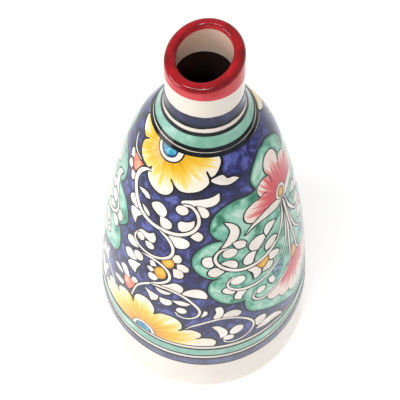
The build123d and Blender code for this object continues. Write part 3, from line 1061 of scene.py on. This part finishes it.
def white_glaze():
    """Cream tin glaze, warmer down the bore, where it lies thin over the clay."""
    recipe = Recipe("white_glaze_coat", 0.12, coat=0.15)
    place = recipe.place()
    cloud = recipe.noise(place, 22, detail=4)
    outside = recipe.ramp(cloud, [(0.38, colour(228, 218, 206)), (0.62, colour(236, 228, 218))])
    position = recipe.axes(place)
    across = recipe.maths("MULTIPLY", position["X"], position["X"])
    along = recipe.maths("MULTIPLY", position["Y"], position["Y"])
    radius = recipe.maths("SQRT", recipe.maths("ADD", across, along))
    base = recipe.mix(recipe.between(radius, *BORE_RADII), colour(238, 204, 182), outside)
    return recipe.glazed(base, place)


MATERIALS = {
    "cobalt": watercolour(
        "cobalt_enamel", (20, 20, 60), (40, 44, 104), (92, 98, 172), 120, (16, 16, 42), 1.5, spread=0.11
    ),
    "green": watercolour(
        "green_enamel", (28, 118, 86), (128, 192, 168), (194, 224, 208), 74, (76, 150, 126), 0.8,
        spread=0.13, seed=1.7,
    ),
    "mint": watercolour(
        "mint_enamel", (120, 176, 156), (142, 190, 172), (168, 208, 194), 60, (98, 152, 136), 0.6
    ),
    "white": watercolour("cream_enamel", (232, 221, 210), (244, 235, 225), (249, 243, 236), 60),
    "black": watercolour(
        "black_enamel", (8, 10, 13), (14, 18, 21), (32, 38, 44), 200, coat=0.06, specular=0.22
    ),
    "heart_blue": watercolour(
        "heart_blue_enamel", (24, 112, 156), (40, 152, 188), (118, 200, 216), 160, (22, 72, 120), 0.6
    ),
    "pale_blue": watercolour(
        "pale_blue_enamel", (110, 150, 190), (142, 180, 206), (184, 208, 222), 140, (100, 140, 170), 0.5
    ),
    "coral": watercolour(
        "coral_enamel", (226, 112, 80), (240, 146, 114), (248, 184, 156), 120, (220, 108, 82), 0.4
    ),
    "amber": watercolour(
        "amber_enamel", (212, 146, 28), (236, 176, 46), (246, 202, 86), 120, (204, 138, 34), 0.4
    ),
    "ochre": watercolour(
        "ochre_enamel", (198, 136, 40), (224, 166, 62), (238, 192, 96), 120, (184, 124, 44), 0.4
    ),
    "ring_cobalt": watercolour(
        "ring_cobalt_enamel", (18, 22, 52), (31, 36, 77), (62, 68, 120), 90, (18, 24, 40), 1.8
    ),
    "ring_blue": watercolour(
        "ring_blue_enamel", (52, 54, 92), (68, 70, 112), (92, 98, 142), 80, (42, 44, 72), 1.4
    ),
    "yellow": streaked(
        "yellow_enamel", (210, 140, 10), (238, 187, 38), (246, 219, 126), (245, 235, 216), 0.48, 0.7
    ),
    "pink": streaked(
        "pink_enamel", (198, 36, 56), (218, 72, 82), (234, 152, 144), (244, 226, 214), 0.48, 0.66
    ),
}


# ---- The vase ----

for unwanted in [o for o in bpy.context.scene.objects if o.name in ("Cube", "Light", "Camera")]:
    bpy.data.objects.remove(unwanted)

# The CAD node that each painted ring takes the place of; any other painted piece takes the place of the node
# of its own name, if there is one, and that node is hidden
RING_NODES = {f"paint_{piece}": node for piece, node, _, _, _, _ in RINGS}
for painted, kind in painted_pieces():
    painted.data.materials.append(MATERIALS[kind])
    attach(painted, "root")
    node = RING_NODES.get(painted.name, painted.name.removeprefix("paint_"))
    if node in frame["nodes"]:
        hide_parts(node)


def dress(node, material):
    """Gives a CAD node its material."""
    mesh = frame["nodes"][node].data
    mesh.materials.clear()
    mesh.materials.append(material)


dress("clay_body", bare_clay())
dress("white_glaze", white_glaze())
dress("red_lip_enamel", lip_red())

# ---- Floor, light and camera ----

FLOOR_HALF = 6.0
floor_mesh = bpy.data.meshes.new("floor")
corners = [(x * FLOOR_HALF, y * FLOOR_HALF, 0) for x, y in ((-1, -1), (1, -1), (1, 1), (-1, 1))]
floor_mesh.from_pydata(corners, [], [(0, 1, 2, 3)])
floor = bpy.data.objects.new("floor", floor_mesh)
bpy.context.scene.collection.objects.link(floor)
floor_material = bpy.data.materials.new("floor_paper")
floor_material.use_nodes = True
floor_shader = floor_material.node_tree.nodes["Principled BSDF"]
connect(floor_shader, Base_Color=(0.97, 0.97, 0.97, 1), Roughness=0.95, Specular_IOR_Level=0.1)
connect(floor_shader, Emission_Color=(1, 1, 1, 1), Emission_Strength=0.34)
floor_mesh.materials.append(floor_material)

world = bpy.data.worlds.new("studio")
bpy.context.scene.world = world
world.use_nodes = True
connect(world.node_tree.nodes["Background"], Color=(1, 1, 1, 1), Strength=0.6)
LIGHT_AIM = Vector((0, 0, 0.12))


def softbox(name, azimuth, elevation, distance, width, height, power):
    """A rectangular area light that looks at the middle of the vase."""
    light = bpy.data.lights.new(name, "AREA")
    light.shape = "RECTANGLE"
    light.size = width
    light.size_y = height
    light.energy = power
    lamp = bpy.data.objects.new(name, light)
    bpy.context.scene.collection.objects.link(lamp)
    turn, rise = math.radians(azimuth), math.radians(elevation)
    away = Vector((math.sin(turn) * math.cos(rise), -math.cos(turn) * math.cos(rise), math.sin(rise)))
    lamp.location = LIGHT_AIM + away * distance
    lamp.rotation_euler = away.to_track_quat("Z", "Y").to_euler()


softbox("key", azimuth=-40, elevation=60, distance=1.3, width=0.8, height=0.06, power=5)
softbox("fill", azimuth=-74, elevation=12, distance=1.6, width=0.8, height=0.7, power=8)
bpy.context.scene.view_settings.view_transform = "Standard"

# The camera looks down at the front from a hand's height above the mouth
CAMERA_DISTANCE = 0.330
CAMERA_DROP = math.radians(60.14)
CAMERA_AIM = Vector((0, 0, 0.1312))
CAMERA_ROLL = math.radians(0.31)
CAMERA_LENS = 52.4
CAMERA_SHIFT = -0.01
camera_data = bpy.data.cameras.new("camera")
camera = bpy.data.objects.new("camera", camera_data)
bpy.context.scene.collection.objects.link(camera)
camera_data.lens = CAMERA_LENS
camera_data.shift_x = CAMERA_SHIFT
camera_data.clip_start = 0.02
camera.location = CAMERA_AIM + CAMERA_DISTANCE * Vector((0, -math.cos(CAMERA_DROP), math.sin(CAMERA_DROP)))
camera.rotation_mode = "QUATERNION"
view_line = CAMERA_AIM - camera.location
camera.rotation_quaternion = view_line.to_track_quat("-Z", "Y") @ Quaternion((0, 0, 1), CAMERA_ROLL)
bpy.context.scene.camera = camera
